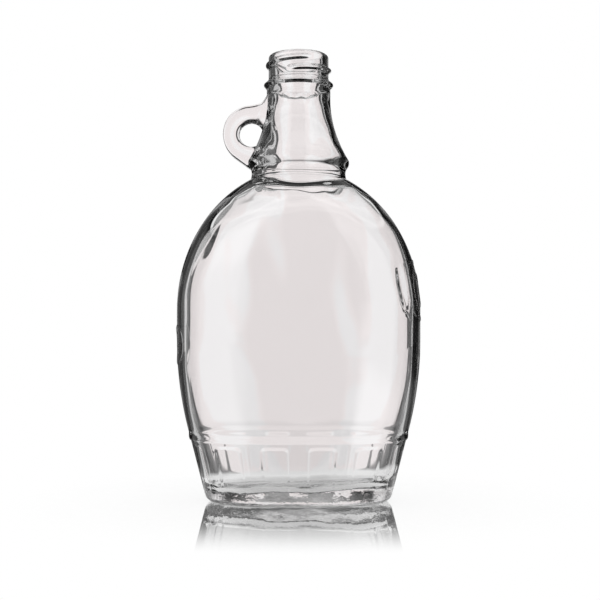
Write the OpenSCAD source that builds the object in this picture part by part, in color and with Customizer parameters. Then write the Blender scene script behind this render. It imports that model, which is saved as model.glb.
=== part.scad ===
/* [Body] */
// Width of the body across its narrow sides
body_w = 101; // [94:1:110]
// Depth of the body from its front face to its back face
body_d = 54; // [48:0.5:60]
// Thickness of the glass in the body
wall = 3.2; // [2.6:0.1:3.8]
// Squareness of the plan: 2 is an ellipse and more is squarer
corner_n = 2.45; // [2.1:0.05:3]
// Height of the part that draws in from the widest level down to the ledge
draw_h = 38.6; // [34:0.2:44]
// How far each narrow side draws in from the widest level down to the ledge
draw_in_w = 5; // [3:0.1:7]
// How far the front and back each draw in down to the ledge
draw_in_d = 1.5; // [0.5:0.1:3.5]
// Height of the straight sides at the widest level
straight_h = 11.2; // [6:0.2:18]
// Height of the shoulder, from the straight sides to the foot of the collar
shoulder_h = 54; // [50:0.1:62]
// Roundness of the shoulder seen from the side: 2 is an ellipse
shoulder_n = 3.4; // [2.4:0.1:4.2]

/* [Skirt and base] */
// Height of the rounded ledge
ledge_h = 3.4; // [2.4:0.1:5]
// How far the ledge stands out over the skirt
ledge_lip = 0.9; // [0.4:0.1:1.4]
// How far each narrow side of the skirt tapers in, from the ledge to the table
taper_w = 7.4; // [5:0.1:10]
// How far the front and back of the skirt each taper in
taper_d = 2; // [1:0.1:4]
// Height of the skirt between the base and the ledge
skirt_h = 19.9; // [16:0.1:26]
// Number of recessed panels round the skirt
panel_count = 12; // [8:2:16]
// Width of one panel
panel_w = 11.8; // [8:0.1:12.4]
// Depth of one panel
panel_depth = 0.7; // [0.3:0.05:1]
// Radius of a panel's upper corners
panel_corner = 2.6; // [1.5:0.1:4]
// Width of the sloped edge of a panel
panel_edge = 1.2; // [0.8:0.1:1.6]
// Distance from a panel's upper edge to the top of the skirt
panel_drop = 1.2; // [0.8:0.1:2.4]
// Thickness of the base
base_h = 5.5; // [4.5:0.1:7]
// Radius of the heel outside
heel_r = 3; // [1.6:0.1:3.6]
// Radius of the corner inside, between the base and the wall
inner_heel_r = 5; // [3:0.1:6.5]
// Width of the flat ring that the bottle stands on
bearing_w = 2.4; // [1.6:0.1:3.4]
// Height of the hollow under the base
push_up = 1.6; // [1:0.1:2.4]

/* [Neck] */
// Radius of the neck under the bead
neck_r = 13.25; // [12.8:0.05:13.7]
// Radius of the neck at its foot, on the collar
neck_foot_r = 20.9; // [19:0.1:22.5]
// Height of the neck from the collar to the bead
neck_h = 29.3; // [26:0.1:34]
// Height of the straight stretch at the top of the neck
neck_straight_h = 3.6; // [2:0.1:6]
// Thickness of the glass at the foot of the neck
neck_wall = 4.6; // [3.8:0.1:5.4]
// Height of the collar, with its waist
collar_h = 8.4; // [7.4:0.1:9.2]
// How far the waist under the collar is drawn in
waist_in = 1.1; // [0.6:0.1:1.8]
// Radius of the bottle at the foot of the collar, where the shoulder starts
collar_foot_r = 20.75; // [20.2:0.05:22.5]

/* [Finish] */
// Radius of the bore at the mouth
bore_r = 9.25; // [8.6:0.05:9.8]
// How far the passage widens in the edge under the bore
bore_step = 0.6; // [0.2:0.1:1]
// Radius of the wall behind the thread
finish_r = 12.45; // [12.2:0.05:12.8]
// Height of the finish from the bead to the lip
finish_h = 10.6; // [10.2:0.1:14]
// Radius of the lip's rounded edges
lip_r = 1.5; // [0.6:0.1:1.6]
// Radius of the transfer bead
bead_r = 14.4; // [14:0.1:15]
// Height of the transfer bead
bead_h = 4; // [3.4:0.1:4.4]
// Radius over the thread
thread_r = 13.63; // [13.3:0.05:13.9]
// Pitch of the thread
thread_pitch = 4.23; // [3.6:0.05:4.8]
// Angle through which the thread turns, in degrees
thread_angle = 415; // [360:5:480]
// Width of the thread at its root
thread_w = 2.3; // [1.8:0.1:2.8]
// Distance from the lip to the middle of the thread's upper end
thread_drop = 2.9; // [2.6:0.1:3.4]

/* [Finger ring] */
// Outer radius of the finger ring
ring_r = 11.8; // [10.6:0.1:12.6]
// Width of the ring's band
ring_band = 6.9; // [5.8:0.1:7.4]
// Thickness of the ring from front to back
ring_t = 7.2; // [6:0.1:8.5]
// Distance from the neck's surface to the middle of the ring
ring_standoff = 3.8; // [3:0.1:5]
// Height of the ring's middle above the collar
ring_up = 10.9; // [9.6:0.1:12]

/* [Side marks] */
// Radius of the large round mark
mark_r = 12.6; // [10:0.1:15]
// Radius of the round mark inside the large one
mark_inner_r = 7; // [5:0.1:8.5]
// Radius of the round mark on the other side
mark_left_r = 8; // [6:0.1:11]
// Width of a mark's raised line
mark_line = 0.9; // [0.6:0.05:1.4]
// Height of a mark's raised line
mark_h = 0.35; // [0.2:0.05:0.6]
// Height of the large mark's middle above the start of the shoulder
mark_up = 8.7; // [4:0.1:14]
// Height of the other side's mark below the start of the shoulder
mark_left_down = 14; // [10:0.1:20]

/* [Hidden] */

glass = [0.87, 0.87, 0.86];
glass_thick = [0.78, 0.8, 0.8];
glass_trim = [0.93, 0.94, 0.94];

// Plan sizes at the ledge and at the foot, from the body's by the two tapers
ledge_w = body_w - 2 * draw_in_w;
ledge_d = body_d - 2 * draw_in_d;
foot_w = ledge_w - 2 * taper_w;
foot_d = ledge_d - 2 * taper_d;

// Levels, from the table up
base_top = base_h;
skirt_top = base_top + skirt_h;
ledge_top = skirt_top + ledge_h;
widest_z = ledge_top + draw_h;
shoulder_z = widest_z + straight_h;
shoulder_top = shoulder_z + shoulder_h;
collar_top = shoulder_top + collar_h;
neck_top = collar_top + neck_h;
bead_top = neck_top + bead_h;
lip_top = bead_top + finish_h;

seat = 0.05;         // room between two curved faces that seat on each other
overshoot = 1;       // how far a cutting solid passes the face that it cuts
revolve_fn = 96;
around = 60;         // points round a plain level of the body
panel_points = 10;   // points across one panel and its pillar

// ---- Plan of the bottle: one squared ellipse at every level ----

function bulge(c, n) = sign(c) * pow(abs(c), 2 / n);
function plan_point(a, b, n, t) = [a * bulge(cos(t), n), b * bulge(sin(t), n)];

// The turn t of the plan at which a share of its outline has been passed, so
// that points and panels can be spread evenly along the skirt's real length.
plan_steps = 240;
plan_trace = [
    for (i = [0:plan_steps])
        plan_point(
            (foot_w + ledge_w) / 4, (foot_d + ledge_d) / 4, corner_n, 360 * i / plan_steps
        )
];
function run_sum(list, i = 0, sum = 0) =
    i >= len(list) ? [] : concat([sum + list[i]], run_sum(list, i + 1, sum + list[i]));
plan_run = concat(
    [0], run_sum([for (i = [1:plan_steps]) norm(plan_trace[i] - plan_trace[i - 1])])
);
plan_length = plan_run[plan_steps];
plan_table = [for (i = [0:plan_steps]) [plan_run[i] / plan_length, 360 * i / plan_steps]];
function plan_turn(share) = lookup(share, plan_table);
plain_turns = [for (i = [0:around - 1]) plan_turn(i / around)];

function level(a, b, n, z, turns) = [for (t = turns) concat(plan_point(a, b, n, t), z)];

// ---- Curves of the body ----

// A curve leaves the upright at z0, half away from the axis, and reaches r1 at
// z1: reach is where it would meet the axis.
function reach(z0, z1, half, r1, n) = abs(z1 - z0) / pow(1 - pow(r1 / half, n), 1 / n);
function curve(z, z0, reach, half, n) = half * pow(1 - pow(abs(z - z0) / reach, n), 1 / n);

oval_n = 2;          // an ellipse

// Half of the body at a height, on its outer face (inset 0) or inner face.
// half_top is half the width or depth, half_low the same at the ledge.
function lower_half(z, half_top, half_low, inset) =
    z >= widest_z
    ? half_top - inset
    : curve(
          z, widest_z, reach(widest_z, ledge_top, half_top, half_low, oval_n), half_top, oval_n
      ) - inset;
function upper_half(z, half, r_top, n) =
    curve(z, shoulder_z, reach(shoulder_z, shoulder_top, half, r_top, n), half, n);

// Squareness goes over into a true circle at the foot of the collar
function plan_n(z) =
    let (share = max(0, (z - shoulder_z) / shoulder_h)) corner_n + (2 - corner_n) * pow(share, 2);

function body_level(z, inset, turns = plain_turns) =
    level(
        lower_half(z, body_w / 2, ledge_w / 2, inset),
        lower_half(z, body_d / 2, ledge_d / 2, inset),
        corner_n, z, turns
    );
function shoulder_level(z, inset, inset_top) =
    level(
        upper_half(z, body_w / 2 - inset, collar_foot_r - inset_top, oval_n),
        upper_half(z, body_d / 2 - inset, collar_foot_r - inset_top, shoulder_n),
        plan_n(z), z, plain_turns
    );

// ---- Skirt: a straight taper with round-topped panels sunk in it ----

skirt_slope_w = (ledge_w / 2 - ledge_lip - foot_w / 2) / skirt_top;
skirt_slope_d = (ledge_d / 2 - ledge_lip - foot_d / 2) / skirt_top;
function skirt_half_w(z, inset) = foot_w / 2 + skirt_slope_w * z - inset;
function skirt_half_d(z, inset) = foot_d / 2 + skirt_slope_d * z - inset;
function skirt_level(z, inset, turns = plain_turns) =
    level(skirt_half_w(z, inset), skirt_half_d(z, inset), corner_n, z, turns);

panel_pitch = plan_length / panel_count;
panel_top = skirt_top - panel_drop;
skirt_around = panel_count * panel_points;

// Places across one pitch, from the middle of a pillar to the middle of the next
panel_places = let (half = panel_w / 2) [
    -panel_pitch / 2, -half, -half + panel_edge / 2, -half + panel_edge, -half / 2,
    half / 2, half - panel_edge, half - panel_edge / 2, half, (half + panel_pitch / 2) / 2,
];
panel_shares = [
    for (k = [0:panel_count - 1]) for (place = panel_places)
        [(k + 0.5) / panel_count + place / plan_length, place]
];

// Depth of the relief at a place across the pitch and a height: the distance
// inside a shape with upright sides and round upper corners, eased over the edge.
function ease(x) = let (c = min(1, max(0, x))) c * c * (3 - 2 * c);
function panel_inside(place, z) =
    let (
        across = abs(place) - (panel_w / 2 - panel_corner),
        up = z - (panel_top - panel_corner)
    )
    across > 0 && up > 0
    ? panel_corner - norm([across, up])
    : panel_corner - max(across, up);
function panel_relief(place, z) =
    panel_depth * ease(panel_inside(place, z) / panel_edge)
    * ease((z - base_top) / panel_edge);

function panel_level(z) = [
    for (s = panel_shares)
        let (inset = panel_relief(s[1], z))
        concat(
            plan_point(
                skirt_half_w(z, inset), skirt_half_d(z, inset), corner_n, plan_turn(s[0])
            ),
            z
        )
];
panel_turns = [for (s = panel_shares) plan_turn(s[0])];

// ---- Lofts ----

// Joins equal rings of points. A tube's last ring joins its first one, and
// otherwise the first and last rings are closed flat.
module loft(rings, tube = true) {
    count = len(rings[0]);
    last = len(rings) - (tube ? 1 : 2);
    sides = [
        for (r = [0:last]) for (i = [0:count - 1])
            let (
                j = (i + 1) % count,
                below = r * count,
                above = ((r + 1) % len(rings)) * count
            )
            each [[below + i, above + i, above + j], [below + i, above + j, below + j]]
    ];
    ends = tube
        ? []
        : [
            [for (i = [0:count - 1]) i],
            [for (i = [count - 1:-1:0]) (len(rings) - 1) * count + i],
        ];
    polyhedron(points = [for (ring = rings) each ring], faces = concat(sides, ends));
}

function spread(a, b, steps) = [for (i = [0:steps]) a + (b - a) * i / steps];
function reversed(list) = [for (i = [len(list) - 1:-1:0]) list[i]];

// ---- Base, skirt, ledge, body and shoulder ----

heel_steps = 4;
floor_rise = 0.8;
bearing_inset = heel_r + bearing_w;
push_up_run = 3;

module base() {
    heel = [
        for (a = spread(0, 90, heel_steps))
            skirt_level(heel_r * (1 - cos(a)), heel_r * (1 - sin(a)))
    ];
    underside = [
        skirt_level(push_up, bearing_inset + push_up_run),
        skirt_level(0, bearing_inset),
    ];
    floor_inset = wall + inner_heel_r;
    floor_rings = [
        skirt_level(base_top, 0),
        skirt_level(base_top, floor_inset),
        skirt_level(base_top + floor_rise, floor_inset + 2 * inner_heel_r),
    ];
    color(glass_thick) loft(concat(underside, heel, floor_rings), tube = false);
}

skirt_steps = 4;

module skirt() {
    low = [base_top, base_top + panel_edge / 2, base_top + panel_edge];
    plain = spread(low[2], panel_top - panel_corner, skirt_steps);
    corner = spread(panel_top - panel_corner, panel_top, skirt_steps);
    heights = [
        low[0], low[1], each plain, for (i = [1:skirt_steps]) corner[i], skirt_top
    ];
    outside = [for (z = heights) panel_level(z)];
    inner_heel = [
        for (a = spread(0, 90, heel_steps))
            skirt_level(
                base_top + inner_heel_r * (1 - sin(a)),
                wall + inner_heel_r * (1 - cos(a)), panel_turns
            )
    ];
    inside = concat([skirt_level(skirt_top, wall, panel_turns)], inner_heel);
    color(glass) loft(concat(outside, inside));
}

ledge_steps = 5;

// The ledge's edge is a half round that stands out over the skirt's line
module ledge() {
    outside = [
        for (a = spread(-90, 90, ledge_steps))
            let (
                z = skirt_top + ledge_h * (1 + sin(a)) / 2,
                out = ledge_lip * (a < 0 ? cos(a) : 1),
                share = (z - skirt_top) / ledge_h,
                low_w = skirt_half_w(skirt_top, 0),
                low_d = skirt_half_d(skirt_top, 0)
            )
            level(
                low_w + out + (ledge_w / 2 - ledge_lip - low_w) * share,
                low_d + out + (ledge_d / 2 - ledge_lip - low_d) * share,
                corner_n, z, plain_turns
            )
    ];
    inside = [
        level(ledge_w / 2 - wall, ledge_d / 2 - wall, corner_n, ledge_top, plain_turns),
        skirt_level(skirt_top, wall),
    ];
    color(glass) loft(concat(outside, inside));
}

draw_steps = 6;

module body() {
    heights = concat(spread(ledge_top, widest_z, draw_steps), [shoulder_z]);
    outside = [for (z = heights) body_level(z, 0)];
    inside = [for (z = reversed(heights)) body_level(z, wall)];
    color(glass) loft(concat(outside, inside));
}

shoulder_steps = 11;

module shoulder() {
    // Levels follow a quarter turn, so that they lie closer where it curves more
    heights = [for (a = spread(0, 90, shoulder_steps)) shoulder_z + shoulder_h * sin(a)];
    outside = [for (z = heights) shoulder_level(z, 0, 0)];
    inside = [for (z = reversed(heights)) shoulder_level(z, wall, neck_wall)];
    color(glass) loft(concat(outside, inside));
}

// ---- Collar, neck and finish: turned profiles ----

// Radius of the bell-shaped neck at a height
bell_n = 2;
function neck_radius(z) =
    let (
        start = neck_top - neck_straight_h,
        share = min(1, max(0, (start - z) / (start - collar_top)))
    )
    neck_r + (neck_foot_r - neck_r) * pow(share, bell_n);

// Radius of the passage at a height, from the collar's foot to the edge under
// the bore
passage_r = bore_r + bore_step;
passage_foot_r = collar_foot_r - neck_wall;
function passage_radius(z) =
    let (
        start = neck_top - neck_straight_h,
        share = min(1, max(0, (start - z) / (start - shoulder_top)))
    )
    passage_r + (passage_foot_r - passage_r) * pow(share, bell_n);

neck_steps = 12;
collar_steps = 6;

// Outline of the collar: a waist in a hollow curve, then a round roll that
// ends where the neck starts.
waist_share = 0.38;  // share of the collar's height that the waist takes
roll_share = 0.62;   // radius of the roll, as a share of the height that is left
roll_low = -60;      // turns between which the roll's arc runs
roll_high = 20;
waist_h = collar_h * waist_share;
roll_r = (collar_h - waist_h) * roll_share;
roll_middle_r = neck_foot_r - roll_r * cos(roll_high);
roll_middle_z = collar_top - roll_r * sin(roll_high);
function collar_profile() = concat(
    [
        for (a = spread(0, 90, collar_steps))
            [collar_foot_r - waist_in * sin(a), shoulder_top + waist_h * (1 - cos(a))]
    ],
    [
        for (a = spread(roll_low, roll_high, collar_steps))
            [roll_middle_r + roll_r * cos(a), roll_middle_z + roll_r * sin(a)]
    ]
);

module turned(profile) {
    rotate_extrude($fn = revolve_fn) polygon(profile);
}

module neck_collar() {
    heights = spread(collar_top, shoulder_top, collar_steps);
    inside = [for (z = heights) [passage_radius(z), z]];
    color(glass_thick) turned(concat(collar_profile(), inside));
}

module neck() {
    bell_top = neck_top - neck_straight_h;
    heights = spread(collar_top, bell_top, neck_steps);
    outside = concat([for (z = heights) [neck_radius(z), z]], [[neck_r, neck_top]]);
    inside = concat(
        [[bore_r, neck_top], [passage_r, neck_top - bore_step]],
        [for (z = reversed(heights)) [passage_radius(z), z]]
    );
    color(glass) turned(concat(outside, inside));
}

bead_steps = 10;

module transfer_bead() {
    roll = bead_h / 2;
    outside = [
        for (a = spread(-90, 90, bead_steps))
            [
                max(bead_r - roll * (1 - cos(a)), a < 0 ? neck_r : finish_r),
                neck_top + roll * (1 + sin(a))
            ]
    ];
    color(glass_trim) turned(concat(outside, [[bore_r, bead_top], [bore_r, neck_top]]));
}

lip_steps = 5;
lip_edge = min(lip_r, (finish_r - bore_r) / 2 - seat);

module finish() {
    outer_edge = [
        for (a = spread(0, 90, lip_steps))
            [finish_r - lip_edge * (1 - cos(a)), lip_top - lip_edge * (1 - sin(a))]
    ];
    inner_edge = [
        for (a = spread(90, 0, lip_steps))
            [bore_r + lip_edge * (1 - cos(a)), lip_top - lip_edge * (1 - sin(a))]
    ];
    color(glass_trim)
        turned(concat(
            [[finish_r, bead_top]], outer_edge, inner_edge, [[bore_r, bead_top]]
        ));
}

// A raised helix that runs out at both ends. Its inner points lie outside the
// wall's circle by enough for a flat between two of them to clear it.
thread_step = 10;
thread_top_turn = 300;     // turn round the mouth at which the upper end lies
thread_run_out = 28;       // turn over which an end rises to the full height
thread_end_rise = 0.12;    // share of the height that an end starts with
thread_end_width = 0.5;    // share of the width that an end starts with
thread_crest = 0.42;       // width of the crest as a share of the root's

module screw_thread() {
    root_r = (finish_r + seat) / cos(thread_step / 2);
    steps = ceil(thread_angle / thread_step);
    height = thread_r - root_r;
    sections = [
        for (i = [0:steps])
            let (
                down = thread_angle * i / steps,
                angle = thread_top_turn - down,
                z = lip_top - thread_drop - thread_pitch * down / 360,
                full = ease(min(down, thread_angle - down) / thread_run_out),
                half = thread_w / 2 * (thread_end_width + (1 - thread_end_width) * full),
                crest_r = root_r + height * (thread_end_rise + (1 - thread_end_rise) * full)
            )
            [
                for (
                    p = [
                        [root_r, -half], [crest_r, -half * thread_crest],
                        [crest_r, half * thread_crest], [root_r, half],
                    ]
                )
                    [p[0] * cos(angle), p[0] * sin(angle), z + p[1]]
            ]
    ];
    color(glass_trim) loft(sections, tube = false);
}

// ---- Finger ring ----

ring_z = collar_top + ring_up;
ring_x = neck_radius(ring_z) + ring_standoff;
ring_steps = 32;
ring_section_steps = 16;
ring_upper_tangent = 97;    // turn at which the upper edge leaves the circle
ring_lower_tangent = 234;   // turn at which the lower edge leaves the circle
ring_web_turn = 38;         // turn over which an edge runs on as a tangent
ring_n = 3.2;               // squareness of the band's section

// Outer radius of the ring at a turn: its edge goes over into straight
// tangents, which widen the band where it meets the neck.
function ring_outer(turn) =
    let (past = max(0, ring_upper_tangent - turn, turn - ring_lower_tangent))
    ring_r / cos(min(ring_web_turn, past));

module ring_band_loop() {
    hole_r = ring_r - ring_band;
    sections = [
        for (i = [0:ring_steps - 1])
            let (
                turn = 360 * i / ring_steps,
                middle = (ring_outer(turn) + hole_r) / 2,
                half = (ring_outer(turn) - hole_r) / 2
            )
            [
                for (k = [0:ring_section_steps - 1])
                    let (
                        a = 360 * k / ring_section_steps,
                        p = plan_point(half, ring_t / 2, ring_n, a),
                        r = middle + p[0]
                    )
                    [-ring_x + r * cos(turn), p[1], ring_z + r * sin(turn)]
            ]
    ];
    loft(sections);
}

// The neck and collar as one full solid, which shapes the ring's seat
module neck_envelope() {
    heights = spread(collar_top, neck_top - neck_straight_h, neck_steps);
    outline = concat(
        [[0, shoulder_top]],
        [for (p = collar_profile()) [p[0] + seat, p[1]]],
        [for (z = heights) [neck_radius(z) + seat, z]],
        [[neck_r + seat, neck_top + overshoot], [0, neck_top + overshoot]]
    );
    turned(outline);
}

module finger_ring() {
    color(glass_trim)
        difference() {
            ring_band_loop();
            neck_envelope();
        }
}

// ---- Round marks on the narrow sides ----

// Outer face of the body at a place y, z on its narrow side
function side_x(y, z) =
    let (
        a = z < shoulder_z
            ? lower_half(z, body_w / 2, ledge_w / 2, 0)
            : upper_half(z, body_w / 2, collar_foot_r, oval_n),
        b = z < shoulder_z
            ? lower_half(z, body_d / 2, ledge_d / 2, 0)
            : upper_half(z, body_d / 2, collar_foot_r, shoulder_n),
        n = plan_n(z)
    )
    a * pow(1 - pow(abs(y) / b, n), 1 / n);

mark_steps = 40;

module round_mark(r, z0, side) {
    half = mark_line / 2;
    sections = [
        for (i = [0:mark_steps - 1])
            let (turn = side * 360 * i / mark_steps)
            [
                for (
                    p = [[-half, seat], [-half / 2, mark_h], [half / 2, mark_h], [half, seat]]
                )
                    let (y = (r + p[0]) * cos(turn), z = z0 + (r + p[0]) * sin(turn))
                    [side * (side_x(y, z) + p[1]), y, z]
            ]
    ];
    loft(sections);
}

module side_marks() {
    color(glass_trim) {
        round_mark(mark_r, shoulder_z + mark_up, 1);
        round_mark(mark_inner_r, shoulder_z + mark_up, 1);
        round_mark(mark_left_r, shoulder_z - mark_left_down, -1);
    }
}

base();
skirt();
ledge();
body();
shoulder();
neck_collar();
neck();
transfer_bead();
finish();
screw_thread();
finger_ring();
side_marks();
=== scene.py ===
"""Clear glass syrup flask with a finger ring: the moulded glass, a white floor, soft studio light and the camera."""

import math

import bpy
import numpy as np
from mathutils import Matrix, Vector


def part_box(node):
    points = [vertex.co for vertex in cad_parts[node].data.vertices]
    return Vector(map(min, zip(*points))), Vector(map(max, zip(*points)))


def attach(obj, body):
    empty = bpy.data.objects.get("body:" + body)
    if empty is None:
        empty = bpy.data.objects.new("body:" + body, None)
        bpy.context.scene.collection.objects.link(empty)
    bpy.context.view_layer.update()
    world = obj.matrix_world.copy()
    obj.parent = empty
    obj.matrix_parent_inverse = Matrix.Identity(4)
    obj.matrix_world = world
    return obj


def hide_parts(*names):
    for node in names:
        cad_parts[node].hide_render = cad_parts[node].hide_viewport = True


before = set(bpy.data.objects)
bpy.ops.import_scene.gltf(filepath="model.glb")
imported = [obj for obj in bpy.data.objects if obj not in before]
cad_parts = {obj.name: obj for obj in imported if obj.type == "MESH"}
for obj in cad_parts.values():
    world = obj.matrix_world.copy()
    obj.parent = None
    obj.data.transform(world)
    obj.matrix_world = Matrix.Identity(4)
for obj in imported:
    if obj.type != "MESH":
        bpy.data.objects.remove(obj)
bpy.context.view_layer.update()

MM = 0.001


# ---- Sizes in millimetres: levels and widths come from the frame, the rest is set here ----


def low(node):
    """Lowest corner of a CAD node's box."""
    return np.array(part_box(node)[0]) / MM


def high(node):
    """Highest corner of a CAD node's box."""
    return np.array(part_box(node)[1]) / MM


BASE_TOP = low("skirt")[2]
SKIRT_TOP = low("ledge")[2]
LEDGE_TOP = low("body")[2]
SHOULDER_Z = low("shoulder")[2]        # where the upright sides end and the shoulder starts
SHOULDER_TOP = low("neck_collar")[2]
COLLAR_TOP = low("neck")[2]
NECK_TOP = low("transfer_bead")[2]
BEAD_TOP = low("finish")[2]
LIP_TOP = high("finish")[2]

BODY_A, BODY_B = high("body")[:2]      # half width and half depth at the widest level
LEDGE_A, LEDGE_B = high("ledge")[:2]
WIDEST_Z = SHOULDER_Z - 11.2
CORNER_N = 2.45                        # squareness of the plan: 2 is an ellipse
SHOULDER_N = 3.4                       # roundness of the shoulder seen from the side
COLLAR_FOOT_R = 20.75
WALL = 3.2

LEDGE_LIP = 0.9                        # how far the ledge stands out over the skirt
TAPER_A, TAPER_B = 7.4, 2.0            # how far the skirt's sides and faces draw in on the way down
FOOT_A, FOOT_B = LEDGE_A - TAPER_A, LEDGE_B - TAPER_B
HEEL_R = 3.0
BEARING = 2.4                          # width of the flat ring that the flask stands on
PUSH_UP = 1.6                          # height of the hollow under the base, without its dome
PUSH_UP_SLOPE = 3.0                    # width of the slope round the hollow
DOME = 0.5
INNER_HEEL_R = 5.0

PANELS = 12
PANEL_W = 11.8
PANEL_DEPTH = 0.38
PANEL_CORNER = 2.6
PANEL_EDGE = 1.4                       # width of a panel's eased edge
PANEL_TOP = SKIRT_TOP - 1.2

NECK_R = 13.25
NECK_FOOT_R = 20.9
BELL_TOP = NECK_TOP - 3.6              # the neck is straight above this level
BEAD_R = high("transfer_bead")[0]
FINISH_R = high("finish")[0]
LIP_R = 1.3
BORE_R = 9.25
MOUTH_R = BORE_R + 0.6                 # the bore narrows by this much towards its lower edge
BORE_STEP = 0.8                        # and is this much narrower than the passage under it

THREAD_R = 13.63
THREAD_PITCH = 4.23
THREAD_ANGLE = 415.0                   # degrees that the helix runs
THREAD_W = 2.3
THREAD_DROP = 2.9                      # from the lip down to the helix's start
THREAD_TOP_TURN = 300.0                # where it starts, in degrees round from the right-hand side
RUN_OUT = 28.0                         # degrees over which each end fades out


# ---- Small helpers on whole arrays ----


def column(values):
    """The values as one column, which numpy then spreads over a row of turns."""
    return np.asarray(values, float).reshape(-1, 1)


def ease(x):
    """Smooth step from 0 to 1."""
    x = np.clip(x, 0, 1)
    return x * x * (3 - 2 * x)


def squared(c, n):
    """Signed power 2/n of a cosine or sine, which turns a circle into a squared ellipse."""
    return np.sign(c) * np.abs(c) ** (2 / n)


def curve(z, z0, z1, half, end, n):
    """Half of a width that is upright at z0 and shrinks to end at z1, along a superellipse of power n."""
    reach = (z1 - z0) / (1 - (end / half) ** n) ** (1 / n)
    return half * (1 - np.clip((z - z0) / reach, 0, 1) ** n) ** (1 / n)


def waves(points, seed, lengths, count=7):
    """Sum of plane sine waves of the given lengths in seeded directions, between about -1 and 1."""
    rng = np.random.default_rng(seed)
    total = np.zeros(points.shape[:-1])
    for _ in range(count):
        way = rng.normal(size=3)
        way /= np.linalg.norm(way)
        total += np.sin(points @ way * 2 * math.pi / rng.uniform(*lengths) + rng.uniform(0, 2 * math.pi))
    return total / math.sqrt(count / 2) / 1.6


# ---- Plan of the flask: x = a squared(cos t), y = b squared(sin t) ----

SKIRT_COLUMNS = 432                    # columns round the skirt, close together at each panel's edges
COLUMNS = SKIRT_COLUMNS // 2           # columns round everything above it


def outline_table():
    """Running length of the skirt's middle plan against the turn t, by summing 4000 short chords."""
    turn = np.linspace(0, 2 * math.pi, 4001)
    x = (FOOT_A + LEDGE_A) / 2 * squared(np.cos(turn), CORNER_N)
    y = (FOOT_B + LEDGE_B) / 2 * squared(np.sin(turn), CORNER_N)
    run = np.concatenate([[0], np.cumsum(np.hypot(np.diff(x), np.diff(y)))])
    return turn, run


TURN_TABLE, RUN_TABLE = outline_table()
OUTLINE = RUN_TABLE[-1]
PITCH = OUTLINE / PANELS


def skirt_places():
    """Places of the columns across one pitch, from pillar middle to pillar middle, packed at the panel's edges."""
    half, inner = PANEL_W / 2, PANEL_W / 2 - PANEL_EDGE
    stops = [(-PITCH / 2, -half, 4), (-half, -inner, 7), (-inner, inner, 14), (inner, half, 7), (half, PITCH / 2, 4)]
    return np.concatenate([np.linspace(a, b, n, endpoint=False) for a, b, n in stops])


PLACES = np.tile(skirt_places(), PANELS)
ALONG = (np.repeat(np.arange(PANELS), SKIRT_COLUMNS // PANELS) + 0.5) * PITCH + PLACES
SKIRT_TURNS = np.interp(ALONG, RUN_TABLE, TURN_TABLE)
BODY_TURNS = SKIRT_TURNS[::2]
INNER_TURNS = np.interp(np.arange(COLUMNS) / COLUMNS * OUTLINE, RUN_TABLE, TURN_TABLE)    # evenly along the oval
ROUND_TURNS = np.arange(COLUMNS) / COLUMNS * 2 * math.pi


def levels(a, b, n, z, turns=SKIRT_TURNS):
    """Rings of the plan with half width a, half depth b and squareness n, one row for each height z."""
    a, b, n, z = (column(v) if np.ndim(v) < 2 else v for v in (a, b, n, z))
    x = a * squared(np.cos(turns), n)
    y = b * squared(np.sin(turns), n)
    return np.stack([x, y, z + 0 * x], axis=-1)


def circles(r, z):
    """Round rings, one row for each radius r and height z."""
    return levels(r, r, 2.0, z, ROUND_TURNS)


def rounding(z, turns):
    """Turns of a level's columns: they drift from the oval's even spacing to the circle's as the shoulder rises."""
    share = ease((column(z) - SHOULDER_Z) / (SHOULDER_TOP - SHOULDER_Z))
    return turns + (ROUND_TURNS - turns) * share


def plan_n(z):
    """Squareness at a level: the body's, falling to a circle's with the square of the way up the shoulder."""
    share = np.clip((z - SHOULDER_Z) / (SHOULDER_TOP - SHOULDER_Z), 0, 1)
    return CORNER_N + (2 - CORNER_N) * share**2


# ---- Outer face, from the middle of the underside up to the lip ----


def skirt_half(z, inset=0.0):
    """Half width and half depth of the skirt: straight lines from the foot to the ledge, less an inset."""
    share = z / SKIRT_TOP
    a = FOOT_A + (LEDGE_A - LEDGE_LIP - FOOT_A) * share - inset
    b = FOOT_B + (LEDGE_B - LEDGE_LIP - FOOT_B) * share - inset
    return a, b


def underside():
    """Hollow under the base, with a parabolic dome in faint waves and an eased slope round it, then the flat ring
    and the heel, a quarter circle."""
    share = np.linspace(0.1, 1, 9)
    edge = HEEL_R + BEARING + PUSH_UP_SLOPE
    a, b = skirt_half(0.0, edge)
    dome = levels(a * share, b * share, CORNER_N, PUSH_UP + DOME * (1 - share**2))
    dome[..., 2] += 0.12 * waves(dome, 31, (9, 16)) * ease(column(1.15 - share) * 4)
    s = np.linspace(0.2, 1, 5)
    slope = levels(*skirt_half(0.0, edge - PUSH_UP_SLOPE * s), CORNER_N, PUSH_UP * (1 - ease(s)))
    flat = levels(*skirt_half(0.0, np.array([HEEL_R + BEARING / 2, HEEL_R])), CORNER_N, [0.0, 0.0])
    turn = np.radians(np.linspace(12, 90, 8))
    z = HEEL_R * (1 - np.cos(turn))
    heel = levels(*skirt_half(z, HEEL_R * (1 - np.sin(turn))), CORNER_N, z)
    return np.concatenate([dome, slope, flat, heel])


def panel_inset(z):
    """Depth of the sunk panels: distance inside an upright slot with round upper corners, eased over its edge, and
    eased in again over the first 4.5 mm above the heel."""
    across = np.abs(PLACES)[None, :] - (PANEL_W / 2 - PANEL_CORNER)
    up = column(z) - (PANEL_TOP - PANEL_CORNER)
    corner = np.hypot(np.maximum(across, 0), np.maximum(up, 0))
    inside = PANEL_CORNER - np.where((across > 0) & (up > 0), corner, np.maximum(across, up))
    return PANEL_DEPTH * ease(inside / PANEL_EDGE) * ease((column(z) - HEEL_R) / 4.5)


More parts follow.
